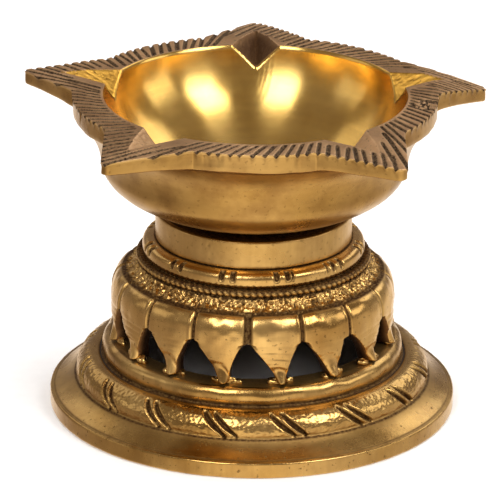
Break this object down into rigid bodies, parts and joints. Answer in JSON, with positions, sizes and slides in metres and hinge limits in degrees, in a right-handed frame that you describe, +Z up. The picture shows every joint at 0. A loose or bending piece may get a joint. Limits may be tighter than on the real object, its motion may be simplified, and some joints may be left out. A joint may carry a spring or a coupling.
{
  "type": "diya oil lamp",
  "caption": "Brass oil lamp: a star-rimmed bowl with V-shaped wick channels at its points, bolted to a round pierced petal stand on a stepped hollow foot.",
  "frame": {"origin": "on the lamp's axis, in the plane that the foot rests on", "axes": "+Z up through the bowl; +Y towards one of the spouts; the pictured side faces -Y"},
  "size_m": [0.1024, 0.0988, 0.072],
  "materials": {
    "polished_brass": "polished inside, brushed satin outside",
    "aged_brass": "brushed, with dark patina in the recesses",
    "plain_brass": "machined"
  },
  "bodies": {
    "stand": {"foot_ring": "aged_brass", "petal_crown": "aged_brass", "braze_spots": "aged_brass", "neck_collar": "polished_brass"},
    "bowl": {"oil_bowl": "polished_brass", "bowl_stud": "plain_brass"},
    "washer": {"stud_washer": "plain_brass"},
    "nut": {"stud_nut": "plain_brass"}
  },
  "joints": [
    {"name": "bowl_lift", "type": "slide", "parent": "stand", "child": "bowl", "axis": [0, 0, 1], "range_m": [0, 0.03]},
    {"name": "nut_travel", "type": "slide", "parent": "stand", "child": "washer", "axis": [0, 0, -1], "range_m": [0, 0.008]},
    {"name": "nut_turn", "type": "hinge", "parent": "washer", "child": "nut", "pos_m": [0, 0, 0.0362], "axis": [0, 0, -1], "range_deg": [0, 2880]}
  ],
  "couplings": [
    {"joint": "nut_turn", "follows": "nut_travel", "rad_per_m": 6283.2}
  ]
}
